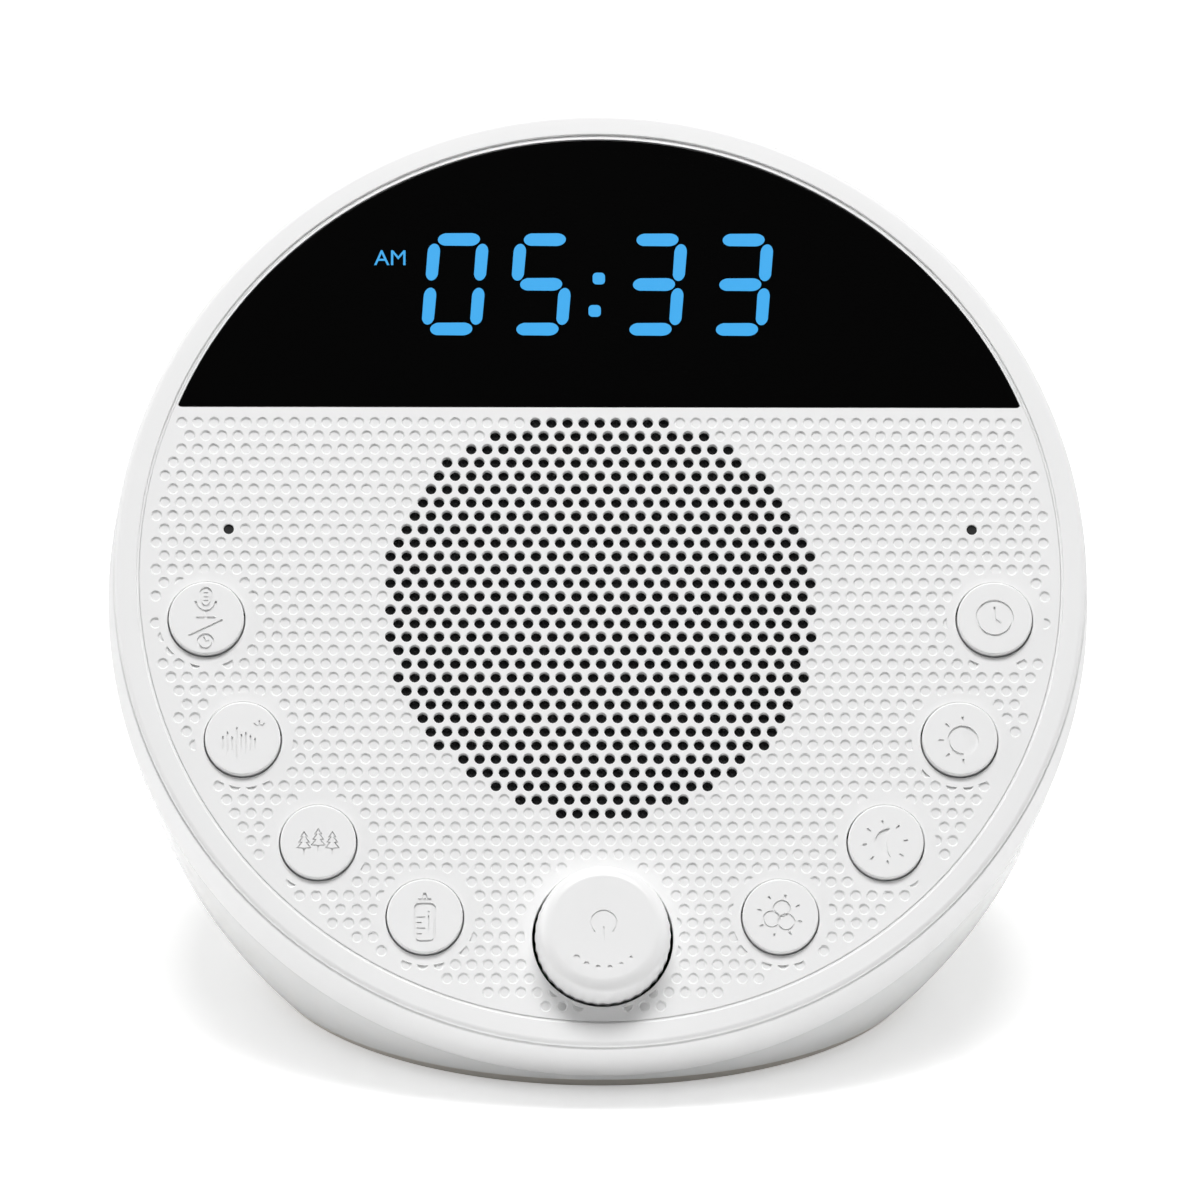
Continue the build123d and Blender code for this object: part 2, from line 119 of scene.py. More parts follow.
# %% [markdown]
# ## Moulded plastics
#
# Most of the object is injection moulded. A mould leaves two things on plastic: a very fine
# grain from the spark-eroded or polished steel, and a faint cloudiness where the melt cooled
# unevenly. The recipe below draws both from noise on Object coordinates: the grain as bump and
# as a small change in roughness, the clouds as a change of a percent or two in colour. A grain
# of 0.1 mm is too fine to show here, so it is drawn a few times coarser.

# %% Recipe for moulded plastic
def moulded(name, colour, cloud_colour, roughness, grain_mm, grain_depth_mm, **shader):
    """A moulded plastic: fine grain in bump and roughness, faint clouds in the colour."""
    material, tree = new_material(name)
    place = node(tree, "ShaderNodeTexCoord").outputs["Object"]
    grain = node(tree, "ShaderNodeTexNoise",
                 {"Vector": place, "Scale": 1 / (grain_mm * MM), "Detail": 3.0, "Roughness": 0.6})
    clouds = node(tree, "ShaderNodeTexNoise",
                  {"Vector": place, "Scale": 1 / (28 * MM), "Detail": 2.0, "Roughness": 0.5})
    tint = node(tree, "ShaderNodeMix",
                {"Factor": clouds.outputs["Fac"], "A": linear(colour), "B": linear(cloud_colour)},
                data_type="RGBA")
    gloss = node(tree, "ShaderNodeMapRange",
                 {"Value": grain.outputs["Fac"], "To Min": roughness * 0.85,
                  "To Max": roughness * 1.15})
    relief = node(tree, "ShaderNodeBump",
                  {"Height": grain.outputs["Fac"], "Distance": grain_depth_mm * MM,
                   "Strength": 0.5})
    surface = node(tree, "ShaderNodeBsdfPrincipled",
                   {"Base Color": tint.outputs["Result"], "Roughness": gloss.outputs["Result"],
                    "Normal": relief.outputs["Normal"], **shader})
    node(tree, "ShaderNodeOutputMaterial", {"Surface": surface.outputs["BSDF"]})
    return material


# ABS from a spark-eroded mould: a satin white that spreads highlights wide.
abs_satin = moulded("abs_white_spark_eroded", "F4F4F4", "F0F0F0", 0.42, 0.45, 0.012,
                    **{"IOR": 1.54})
# The same ABS from a finer mould on the small parts, which look a little smoother.
abs_fine = moulded("abs_white_fine_grain", "F5F5F5", "F2F2F2", 0.36, 0.3, 0.006, **{"IOR": 1.54})
# Opal polycarbonate, polished mould: light sinks in and comes out nearby, under a clear gloss.
opal = moulded("polycarbonate_opal_polished", "F0F0EF", "EBEBEA", 0.13, 1.2, 0.004,
               **{"IOR": 1.585, "Subsurface Weight": 0.25, "Subsurface Scale": 0.006,
                  "Subsurface Radius": (1.0, 0.9, 0.8)})
# Smoked acrylic, polished and black behind: nearly all the light that enters stays in.
smoked = moulded("acrylic_smoked_polished", "060606", "070707", 0.05, 2.0, 0.0005,
                 **{"IOR": 1.49, "Specular IOR Level": 0.3})
black_abs = moulded("abs_black_moulded", "1A1A1B", "161617", 0.5, 0.4, 0.01, **{"IOR": 1.54})
rubber = moulded("silicone_rubber_foot", "D8D3CB", "D0CBC3", 0.7, 0.5, 0.03, **{"IOR": 1.42})
black_rubber = moulded("speaker_rubber_black", "151516", "111112", 0.75, 0.5, 0.03,
                       **{"IOR": 1.5})
foam = moulded("polyurethane_foam_black", "1B1B1C", "121213", 0.95, 0.8, 0.2, **{"IOR": 1.3})
paper_cone = moulded("pressed_paper_cone_black", "121213", "0C0C0D", 0.85, 0.6, 0.05,
                     **{"IOR": 1.4})
board_green = moulded("glass_epoxy_board_green", "1F5A38", "1A4E31", 0.35, 0.4, 0.01,
                      **{"IOR": 1.5})
board_white = moulded("glass_epoxy_board_white", "EDEEEC", "E4E5E3", 0.4, 0.4, 0.01,
                      **{"IOR": 1.5})
ribbon = moulded("polyimide_film_amber", "B3702A", "A66420", 0.3, 1.5, 0.005, **{"IOR": 1.7})
ferrite = moulded("ferrite_sintered_grey", "3A3A3C", "2F2F31", 0.6, 0.3, 0.03, **{"IOR": 2.3})
led_white = moulded("led_package_white", "F4F0D8", "EFE9C4", 0.3, 0.5, 0.005, **{"IOR": 1.5})
print("moulded materials:", len(bpy.data.materials))

# %% [markdown]
# ## Metals and light
#
# The metal parts are sheet steel and turned steel. A metal has no base gloss of its own to set:
# its colour is the reflection, so metallic is 1 and the IOR stays at its default. The lit bars
# of the clock give off light instead of reflecting it.

# %% Metals and the lit segments
def metal(name, colour, roughness, stretch):
    """Brushed or turned metal: noise stretched along one axis leaves fine directional lines."""
    material, tree = new_material(name)
    place = node(tree, "ShaderNodeTexCoord").outputs["Object"]
    drawn = node(tree, "ShaderNodeMapping", {"Vector": place, "Scale": stretch})
    lines = node(tree, "ShaderNodeTexNoise",
                 {"Vector": drawn.outputs["Vector"], "Scale": 1 / (0.4 * MM), "Detail": 2.0})
    gloss = node(tree, "ShaderNodeMapRange",
                 {"Value": lines.outputs["Fac"], "To Min": roughness * 0.7,
                  "To Max": roughness * 1.3})
    relief = node(tree, "ShaderNodeBump",
                  {"Height": lines.outputs["Fac"], "Distance": 0.01 * MM, "Strength": 0.4})
    surface = node(tree, "ShaderNodeBsdfPrincipled",
                   {"Base Color": linear(colour), "Metallic": 1.0,
                    "Roughness": gloss.outputs["Result"], "Normal": relief.outputs["Normal"]})
    node(tree, "ShaderNodeOutputMaterial", {"Surface": surface.outputs["BSDF"]})
    return material


def lit_window(name, colour, edge_colour, strength):
    """A lit segment: even light with a barely darker grain, as a diffusing film gives."""
    material, tree = new_material(name)
    place = node(tree, "ShaderNodeTexCoord").outputs["Object"]
    film = node(tree, "ShaderNodeTexNoise", {"Vector": place, "Scale": 1 / (0.8 * MM)})
    glow = node(tree, "ShaderNodeMix",
                {"Factor": film.outputs["Fac"], "A": linear(colour), "B": linear(edge_colour)},
                data_type="RGBA")
    surface = node(tree, "ShaderNodeBsdfPrincipled",
                   {"Base Color": linear("08131D"), "Roughness": 0.3,
                    "Emission Color": glow.outputs["Result"], "Emission Strength": strength})
    node(tree, "ShaderNodeOutputMaterial", {"Surface": surface.outputs["BSDF"]})
    return material


def woven(name, colour, thread_mm, thread_height_mm):
    """A plain cloth: threads that run both ways, as two sets of waves in the bump."""
    material, tree = new_material(name)
    place = node(tree, "ShaderNodeTexCoord").outputs["Object"]
    ways = [node(tree, "ShaderNodeTexWave", {"Vector": place, "Scale": 0.31 / (thread_mm * MM)},
                 bands_direction=way) for way in ("X", "Z")]
    weave = node(tree, "ShaderNodeMath", {0: ways[0].outputs["Fac"], 1: ways[1].outputs["Fac"]},
                 operation="MAXIMUM")
    relief = node(tree, "ShaderNodeBump", {"Height": weave.outputs["Value"],
                                           "Distance": thread_height_mm * MM})
    surface = node(tree, "ShaderNodeBsdfPrincipled",
                   {"Base Color": linear(colour), "Roughness": 0.9, "Sheen Weight": 0.2,
                    "Normal": relief.outputs["Normal"]})
    node(tree, "ShaderNodeOutputMaterial", {"Surface": surface.outputs["BSDF"]})
    return material


# Black polyester cloth: open threads half a millimetre apart that swallow the light.
cloth = woven("polyester_acoustic_cloth_black", "0A0A0B", 0.5, 0.1)
steel = metal("steel_sheet_nickel_plated", "C9C9C6", 0.28, (1, 1, 8))
screw_steel = metal("steel_screws_zinc_plated", "B9BCC0", 0.32, (1, 8, 1))
can_metal = metal("tinplate_pressed", "CFCFCB", 0.25, (6, 1, 1))
blue_light = lit_window("display_segments_lit_blue", "2FABF0", "2AA7ED", 0.97)
print("all materials:", len(bpy.data.materials))

# %% [markdown]
# ## The face's own drawing board
#
# The front leans back, and everything on it is easier to draw lying flat, in millimetres, with
# the outward direction up. One matrix then tips the finished mesh up by 55 degrees, scales it
# to metres and carries it to the centre of the face. Its place ends up in the mesh, and the
# object itself stays at the origin, as every CAD part does.

# %% Frames of reference
FACE_LEAN = 35.0
FACE_CENTRE = Vector((0.0, -19.0, 64.7))
FACE = (
    Matrix.Translation(FACE_CENTRE * MM)
    @ Matrix.Rotation(math.radians(90 - FACE_LEAN), 4, "X")
    @ Matrix.Scale(MM, 4)
)
UPRIGHT = Matrix.Scale(MM, 4)

print("the face's outward direction is", [round(c, 3) for c in FACE.to_3x3().normalized().col[2]])


# %% Helpers that finish a mesh
def piece(name, form, finish, place=FACE, body="housing", stands_for=(), crease=32):
    """Turn a finished bmesh into a named piece, shade it and seat it on its body."""
    bmesh.ops.recalc_face_normals(form, faces=form.faces)
    form.transform(place)
    mesh = bpy.data.meshes.new(name)
    form.to_mesh(mesh)
    form.free()
    mesh.shade_smooth()
    mesh.set_sharp_from_angle(angle=math.radians(crease))
    mesh.materials.append(finish)
    thing = bpy.data.objects.new(name, mesh)
    bpy.context.scene.collection.objects.link(thing)
    thing.modifiers.new("keep_flats_flat", "WEIGHTED_NORMAL").keep_sharp = True
    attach(thing, body)
    if stands_for:
        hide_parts(*stands_for)
    triangles = sum(len(face.vertices) - 2 for face in mesh.polygons)
    print(f"{name}: {triangles} triangles")
    return thing


def carve(form, cutter, solver="MANIFOLD"):
    """Cut one closed form out of another, and give back what is left as a new bmesh."""
    pair = []
    for solid in (form, cutter):
        bmesh.ops.recalc_face_normals(solid, faces=solid.faces)
        mesh = bpy.data.meshes.new("carving")
        solid.to_mesh(mesh)
        solid.free()
        pair.append(bpy.data.objects.new("carving", mesh))
        bpy.context.scene.collection.objects.link(pair[-1])
    cut = pair[0].modifiers.new("cut", "BOOLEAN")
    cut.operation = "DIFFERENCE"
    cut.solver = solver
    if solver == "EXACT":
        cut.use_self = True
    cut.object = pair[1]
    left = bmesh.new()
    left.from_object(pair[0], bpy.context.evaluated_depsgraph_get())
    for used in pair:
        mesh = used.data
        bpy.data.objects.remove(used)
        bpy.data.meshes.remove(mesh)
    return left


def outline(points, rounded, closed=True, segments=5):
    """Draw an outline of radius and height pairs in the XZ plane, with some corners rounded.

    rounded maps a point's number to how far back from the corner the rounding starts. An open
    outline starts and ends on the axis, and its turned shape closes there.
    """
    form = bmesh.new()
    corners = [form.verts.new((x, 0, z)) for x, z in points]
    for first, second in zip(corners, corners[1:] + (corners[:1] if closed else [])):
        form.edges.new((first, second))
    for number, setback in rounded.items():
        bmesh.ops.bevel(form, geom=[corners[number]], offset=setback, segments=segments,
                        profile=0.5, affect="VERTICES", material=-1)
    return form


def turn(form, steps):
    """Spin everything in a bmesh a full turn about the Z axis."""
    bmesh.ops.spin(form, geom=form.verts[:] + form.edges[:], cent=(0, 0, 0), axis=(0, 0, 1),
                   angle=math.tau, steps=steps, use_merge=True)
    bmesh.ops.remove_doubles(form, verts=form.verts, dist=0.0001)
    return form


print("mesh helpers are ready")

# %% [markdown]
# ## Floor, backdrop and light
#
# The object stands on a plain white sweep in soft studio light. The sky of the studio is a white
# tent. Two tall softboxes at the sides and a broad one overhead draw the gentle edges. Three
# dark cards hang inside the tent, as a product photographer would have them. One is above and in
# front, just where the clock window would mirror the tent, so the window stays deep black. One
# is the open front, where the camera stands in a darker room: it draws soft grey edges on what
# faces straight ahead. For that darker room the sweep's colour is also darkened towards the
# front, for every ray but the camera's: painted shade, so that the sweep gives back less light
# there. One hangs over the back, so that the white top edge does not burn out. The sweep is a
# lit table: it glows faintly, which lifts the shadow under the ball without wiping it out. Rays
# from the camera see plain white beyond it.

# %% Floor and world
FLOOR_HALF = 6.0
# Painted shade on the sweep: where it begins and is full, and how much of the colour it leaves.
FLOOR_LIT_FROM, FLOOR_DARK_FROM, FLOOR_DARKEST = -0.07, -0.22, 0.15
# The floor's own glow: what it gives to everything, and what the camera sees on top of that.
FLOOR_GLOW, FLOOR_GLOW_SEEN = 0.08, 0.26
TENT_LEVEL = 0.735
# Each card: its direction, the angles at which it begins and is full, and the light it leaves.
DARK_CARDS = [
    ((0.02, -0.6, 0.8), 26, 14, 0.12),
    ((0.0, -1.0, 0.05), 85, 40, 0.0),
    ((0.0, 0.5, 0.87), 70, 20, 0.34),
]

sweep, tree = new_material("studio_sweep_painted_white")
spot = node(tree, "ShaderNodeTexCoord").outputs["Object"]
mottle = node(tree, "ShaderNodeTexNoise", {"Vector": spot, "Scale": 4.0, "Detail": 2.0})
paint = node(tree, "ShaderNodeMix", {"Factor": mottle.outputs["Fac"], "A": linear("FBFBFB"),
                                     "B": linear("FAFAFA")}, data_type="RGBA")
ray = node(tree, "ShaderNodeLightPath")
# Painted shade: the sweep's colour darkens towards the front for every ray but the camera's,
# standing in for the darker room in front.
depth = node(tree, "ShaderNodeSeparateXYZ", {"Vector": spot})
fade = node(tree, "ShaderNodeMapRange",
            {"Value": depth.outputs["Y"], "From Min": FLOOR_DARK_FROM, "From Max": FLOOR_LIT_FROM,
             "To Min": FLOOR_DARKEST, "To Max": 1.0}, interpolation_type="SMOOTHSTEP")
kept = node(tree, "ShaderNodeMath", {0: fade.outputs["Result"], 1: ray.outputs["Is Camera Ray"]},
            operation="MAXIMUM")
front_shaded_paint = node(tree, "ShaderNodeVectorMath", {0: paint.outputs["Result"],
                                            "Scale": kept.outputs["Value"]}, operation="SCALE")
matt = node(tree, "ShaderNodeBsdfDiffuse", {"Color": front_shaded_paint.outputs["Vector"]})
glow = node(tree, "ShaderNodeMath",
            {0: ray.outputs["Is Camera Ray"], 1: FLOOR_GLOW_SEEN, 2: FLOOR_GLOW},
            operation="MULTIPLY_ADD")
lift = node(tree, "ShaderNodeEmission", {"Color": (1, 1, 1, 1), "Strength": glow.outputs["Value"]})
both = node(tree, "ShaderNodeAddShader")
tree.links.new(matt.outputs["BSDF"], both.inputs[0])
tree.links.new(lift.outputs["Emission"], both.inputs[1])
node(tree, "ShaderNodeOutputMaterial", {"Surface": both.outputs["Shader"]})

ground = bmesh.new()
bmesh.ops.create_grid(ground, x_segments=1, y_segments=1, size=FLOOR_HALF)
floor_mesh = bpy.data.meshes.new("floor")
ground.to_mesh(floor_mesh)
ground.free()
floor_mesh.materials.append(sweep)
floor = bpy.data.objects.new("floor", floor_mesh)
bpy.context.scene.collection.objects.link(floor)

world = bpy.data.worlds.new("studio_tent")
world.use_nodes = True
tree = world.node_tree
tree.nodes.clear()
level = TENT_LEVEL
for direction, begins, full, leaves in DARK_CARDS:
    towards = node(tree, "ShaderNodeVectorMath",
                   {0: node(tree, "ShaderNodeTexCoord").outputs["Generated"], 1: direction},
                   operation="DOT_PRODUCT")
    card = node(tree, "ShaderNodeMapRange",
                {"Value": towards.outputs["Value"], "From Min": math.cos(math.radians(begins)),
                 "From Max": math.cos(math.radians(full)), "To Min": 1.0, "To Max": leaves},
                interpolation_type="SMOOTHSTEP")
    level = node(tree, "ShaderNodeMath", {0: level, 1: card.outputs["Result"]},
                 operation="MULTIPLY").outputs["Value"]
ray = node(tree, "ShaderNodeLightPath")
seen_through = node(tree, "ShaderNodeMath",
                    {0: ray.outputs["Is Camera Ray"], 1: ray.outputs["Is Transmission Ray"]},
                    operation="MAXIMUM")
strength = node(tree, "ShaderNodeMix",
                {"Factor": seen_through.outputs["Value"], "A": level, "B": 1.0},
                data_type="FLOAT")
sky = node(tree, "ShaderNodeBackground",
           {"Color": (1, 1, 1, 1), "Strength": strength.outputs["Result"]})
node(tree, "ShaderNodeOutputWorld", {"Surface": sky.outputs["Background"]})
bpy.context.scene.world = world
print("floor is", 2 * FLOOR_HALF, "m across")


# %% Softboxes
AIM = FACE_CENTRE * MM


def softbox(name, place, width, height, watts):
    """A rectangular softbox that faces the object."""
    lamp = bpy.data.lights.new(name, "AREA")
    lamp.shape = "RECTANGLE"
    lamp.size = width
    lamp.size_y = height
    lamp.energy = watts
    box = bpy.data.objects.new(name, lamp)
    box.matrix_world = (
        Matrix.Translation(place) @ (AIM - place).to_track_quat("-Z", "Y").to_matrix().to_4x4()
    )
    bpy.context.scene.collection.objects.link(box)
    print(name, "at", [round(c, 2) for c in place], "m,", watts, "W")


softbox("softbox_above", Vector((0.0, -0.36, 1.6)), 0.85, 0.55, 22.6)
softbox("softbox_left", Vector((-1.1, 0.05, 0.45)), 0.45, 0.8, 2.1)
softbox("softbox_right", Vector((1.1, 0.05, 0.45)), 0.45, 0.8, 1.3)

# %% [markdown]
# ## Front bezel
#
# The rim is one moulded ring. Its section is drawn once as a closed outline: a narrow shelf
# beside the panel, a flat lip, a rounded crest, a hairline seam, a side wall that flares towards
# the back, and inside it the ledge on which the grille panel sits. Rounding the corners of the
# outline with a vertex bevel and spinning it a full turn gives the whole ring, with an even
# surface that a highlight can run along.

# %% Front bezel
TURN_STEPS = 180
SHELF_R, SHELF_TOP = 62.83, -0.16
LIP_R, LIP_TOP = 63.12, 0.2
CREST_R, CREST_BOTTOM = 66.2, -0.55
SEAM_R, SEAM_WIDTH = 65.85, 0.36
BEZEL_FRONT_R = 66.45
BEZEL_REAR_R, BEZEL_DEPTH = 67.5, 12.5
BEZEL_WALL_R = 64.3
LEDGE_R, LEDGE_THICKNESS = 61.0, 1.8
PANEL_R, PANEL_THICKNESS = 62.8, 2.4

bezel_section = [
    (SHELF_R, -PANEL_THICKNESS), (SHELF_R, SHELF_TOP), (LIP_R, SHELF_TOP),
    (LIP_R, LIP_TOP), (CREST_R, LIP_TOP), (CREST_R, CREST_BOTTOM),
    (SEAM_R, CREST_BOTTOM - 0.05), (SEAM_R, CREST_BOTTOM - 0.05 - SEAM_WIDTH),
    (BEZEL_FRONT_R, CREST_BOTTOM - 0.15 - SEAM_WIDTH), (BEZEL_REAR_R, -BEZEL_DEPTH),
    (BEZEL_WALL_R, -BEZEL_DEPTH), (BEZEL_WALL_R, -PANEL_THICKNESS - LEDGE_THICKNESS),
    (LEDGE_R, -PANEL_THICKNESS - LEDGE_THICKNESS), (LEDGE_R, -PANEL_THICKNESS),
]
bezel = outline(bezel_section, rounded={3: 0.15, 4: 0.7, 5: 0.1, 8: 0.2, 9: 0.35})
piece("bezel_ring", turn(bezel, TURN_STEPS), abs_satin,
      stands_for=["front_bezel"])

# %% [markdown]
# ## Grille panel
#
# The white panel carries a sheet of small round marks on one triangular lattice, 2.2 mm apart.
# In a disc over the speaker they are through holes. Elsewhere they are shallow dimples, so that
# the whole face reads as one texture. Around each button and round the knob a plain ring is
# left, and where a dimple meets that ring it is cut off along it.
#
# The quickest honest way to make over 1600 marks is to build the tool and not the panel: every
# mark is a small closed peg with a flared mouth, the plain rings are cut out of the pegs, and
# then all pegs are cut out of one thick disc in a single step. Each peg has few sides, because
# there are so many of them.

# %% Lattice of marks
PITCH = 2.2
ROW_STEP = PITCH * math.sqrt(3) / 2
LATTICE_Y = -5.42
TOP_ROW, BOTTOM_ROW = 14, -29
MARK_FIELD_R = 61.2
SPEAKER_FIELD_R = 13.3 * PITCH
# The disc of holes is not quite regular: as row and column, in half steps of the pitch.
EXTRA_HOLES = {(4, 26), (4, -26), (11, -19)}
MISSING_HOLES = {(14, 10), (14, -10)}

holes, dimples = [], []
for row in range(TOP_ROW, BOTTOM_ROW - 1, -1):
    for half_column in range(-56 + row % 2, 57, 2):
        x, y = half_column * PITCH / 2, row * ROW_STEP
        in_disc = math.hypot(x, y) < SPEAKER_FIELD_R and (row, half_column) not in MISSING_HOLES
        if in_disc or (row, half_column) in EXTRA_HOLES:
            holes.append((x, LATTICE_Y + y))
        elif math.hypot(x, LATTICE_Y + y) < MARK_FIELD_R:
            dimples.append((x, LATTICE_Y + y))
print("speaker holes:", len(holes), " dimples before trimming:", len(dimples))

# %% Controls on the face
MIC_SITES = [(-50.65, 6.0), (50.75, 6.0)]
MIC_HOLE_R = 0.72
BUTTON_CIRCLE_R, BUTTON_R, BUTTON_WELL_R = 54.0, 5.1, 5.3
KNOB_Y, KNOB_WELL_R = -51.26, 9.5
BUTTONS_FROM_BELOW = {
    "colour": 26.25, "night_light": 45.08, "brightness": 63.91, "clock": 82.74,
    "lullaby": -26.25, "nature": -45.08, "white_noise": -63.91, "record_timer": -82.74,
}
button_sites = {
    name: (BUTTON_CIRCLE_R * math.sin(math.radians(angle)),
           -BUTTON_CIRCLE_R * math.cos(math.radians(angle)))
    for name, angle in BUTTONS_FROM_BELOW.items()
}
# The plain rings of the lattice: centre and radius. They sit a hair off the controls.
PLAIN_RINGS = [((x + 0.15, y + 0.03), 6.65) for x, y in button_sites.values()]
PLAIN_RINGS.append(((-0.15, -50.82), 10.4))
SLIVER = 0.25
dimples = [site for site in dimples
           if all(math.dist(site, centre) > radius - SLIVER for centre, radius in PLAIN_RINGS)
           and all(math.dist(site, mic) > PITCH / 2 for mic in MIC_SITES)]
print("the clock button is at", [round(c, 1) for c in button_sites["clock"]], "mm")


# %% Pegs that cut the marks
MARK_R, MARK_SIDES = 0.74, 14
DIMPLE_DEPTH, DIMPLE_DRAFT = 0.28, 0.8
MOUTH_FLARE = 0.07


def peg(form, x, y, radius, depth, sides=MARK_SIDES, flare=MOUTH_FLARE, draft=1.0):
    """Stand one closed cutter in the face, with a flared mouth that softens the hole's rim.

    A draft below 1 narrows the cutter towards its end, as on a dimple.
    """
    mouth = bmesh.ops.create_cone(form, cap_ends=True, segments=sides, radius1=radius,
                                  radius2=radius + 2 * flare, depth=2 * flare,
                                  matrix=Matrix.Translation((x, y, 0)))
    base = [v for v in mouth["verts"] if v.co.z < 0]
    cap = [face for face in base[0].link_faces if len(face.verts) == sides
           and all(v.co.z < 0 for v in face.verts)]
    sunk = bmesh.ops.extrude_face_region(form, geom=cap)
    moved = [v for v in sunk["geom"] if isinstance(v, bmesh.types.BMVert)]
    bmesh.ops.scale(form, verts=moved, vec=(draft, draft, 1), space=Matrix.Translation((-x, -y, 0)))
    bmesh.ops.translate(form, verts=moved, vec=(0, 0, flare - depth))
    bmesh.ops.delete(form, geom=cap, context="FACES_ONLY")


def drum(form, x, y, radius, top, bottom, sides=64):
    """Add a plain closed cylinder that stands between two heights."""
    bmesh.ops.create_cone(form, cap_ends=True, segments=sides, radius1=radius, radius2=radius,
                          depth=top - bottom, matrix=Matrix.Translation((x, y, (top + bottom) / 2)))


def gather(form, part):
    """Pour a small bmesh into a larger one. Operators are slow in a crowded bmesh."""
    carrier = bpy.data.meshes.new("carrier")
    part.to_mesh(carrier)
    part.free()
    form.from_mesh(carrier)
    bpy.data.meshes.remove(carrier)


def stand_pegs(form, sites, depth, draft=1.0):
    """Stand the pegs of one kind of mark, a row of the lattice at a time."""
    for level in sorted({y for x, y in sites}):
        row = bmesh.new()
        for x, y in sites:
            if y == level:
                peg(row, x, y, MARK_R, depth, draft=draft)
        gather(form, row)


pegs = bmesh.new()
stand_pegs(pegs, dimples, DIMPLE_DEPTH, DIMPLE_DRAFT)
rings = bmesh.new()
for (x, y), radius in PLAIN_RINGS:
    drum(rings, x, y, radius, 2, -2)
pegs = carve(pegs, rings)
stand_pegs(pegs, holes, PANEL_THICKNESS + 1)
for x, y in MIC_SITES:
    peg(pegs, x, y, MIC_HOLE_R, PANEL_THICKNESS + 1)
print("faces on the pegs:", len(pegs.faces))

# %% Panel with its marks, wells and window pocket
LENS_R, LENS_THICKNESS, LENS_CHORD_Y, LENS_GAP = 62.4, 1.6, 23.45, 0.06
DISPLAY_CENTRE = (-2.0, 41.4)
DISPLAY_OPENING, DISPLAY_OPENING_Z = (59, 17, 4), -2
WELL_FLARE = 0.1
CLOTH_R, GRILLE_THICKNESS = 30.8, 0.95
SEAL_R, SEAL_TOP = 1.15, -0.3
PANEL_EDGE_ROUND = 0.18


def d_shape(radius, chord, corner, top, bottom):
    """A closed slab of D outline: a disc kept above a level chord, its two corners rounded."""
    form = bmesh.new()
    bmesh.ops.create_circle(form, cap_ends=True, segments=240, radius=radius,
                            matrix=Matrix.Translation((0, 0, top)))
    bmesh.ops.bisect_plane(form, geom=form.verts[:] + form.edges[:] + form.faces[:],
                           plane_co=(0, chord, 0), plane_no=(0, 1, 0), clear_inner=True)
    corners = sorted(form.verts, key=lambda v: (round(v.co.y, 3), -abs(v.co.x)))[:2]
    bmesh.ops.bevel(form, geom=corners, offset=corner, segments=5, profile=0.5,
                    affect="VERTICES", material=-1)
    slab = bmesh.ops.extrude_face_region(form, geom=form.faces[:], use_keep_orig=True)
    lower = [v for v in slab["geom"] if isinstance(v, bmesh.types.BMVert)]
    bmesh.ops.translate(form, verts=lower, vec=(0, 0, bottom - top))
    return form


panel = bmesh.new()
drum(panel, 0, 0, PANEL_R, 0, -PANEL_THICKNESS, sides=TURN_STEPS)
bmesh.ops.bevel(panel, geom=[edge for edge in panel.edges
                             if all(v.co.z > -0.01 for v in edge.verts)],
                offset=PANEL_EDGE_ROUND, segments=3, profile=0.5, affect="EDGES", material=-1)
panel = carve(panel, pegs)
wells = bmesh.new()
for x, y in button_sites.values():
    peg(wells, x, y, BUTTON_WELL_R, PANEL_THICKNESS + 1, sides=64, flare=WELL_FLARE)
peg(wells, 0, KNOB_Y, KNOB_WELL_R, PANEL_THICKNESS + 1, sides=96, flare=WELL_FLARE)
panel = carve(panel, wells)
panel = carve(panel, d_shape(LENS_R + LENS_GAP, LENS_CHORD_Y, 0.8, 1, -LENS_THICKNESS))
window = bmesh.new()
bmesh.ops.create_cube(window, size=1,
                      matrix=Matrix.Translation((*DISPLAY_CENTRE, DISPLAY_OPENING_Z))
                      @ Matrix.Diagonal((*DISPLAY_OPENING, 1)))
panel = carve(panel, window)
recess = bmesh.new()
drum(recess, 0, LATTICE_Y, CLOTH_R + 0.1, -GRILLE_THICKNESS, -PANEL_THICKNESS - 1, sides=96)
for x, y in MIC_SITES:
    drum(recess, x, y, SEAL_R + 0.1, SEAL_TOP, -PANEL_THICKNESS - 1, sides=32)
panel = carve(panel, recess)
print("faces on the panel:", len(panel.faces))

# %% Cloth behind the holes, seals behind the microphone holes
# Each layer stops short of the recess it lies in, in front and behind.
LAYER_GAP, LAYER_INSET = 0.02, 0.12
seals = bmesh.new()
for x, y in MIC_SITES:
    drum(seals, x, y, SEAL_R, SEAL_TOP - LAYER_GAP, -PANEL_THICKNESS + LAYER_INSET, sides=32)
piece("microphone_seals", seals, black_rubber)
layer = bmesh.new()
drum(layer, 0, LATTICE_Y, CLOTH_R, -GRILLE_THICKNESS - LAYER_GAP,
     -PANEL_THICKNESS + LAYER_INSET, sides=96)
piece("speaker_cloth", layer, cloth)

# %% Posts behind the panel
SPEAKER_Y, SPEAKER_POST_CIRCLE_R = -6.5, 31.6
BOARD_POSTS = [(43, 14), (-43, 14), (38, -28), (-38, -28)]
SPEAKER_POST_R, SPEAKER_POST_END = 2.6, -3.9
BOARD_POST_R, BOARD_POST_END = 2.8, -9.0
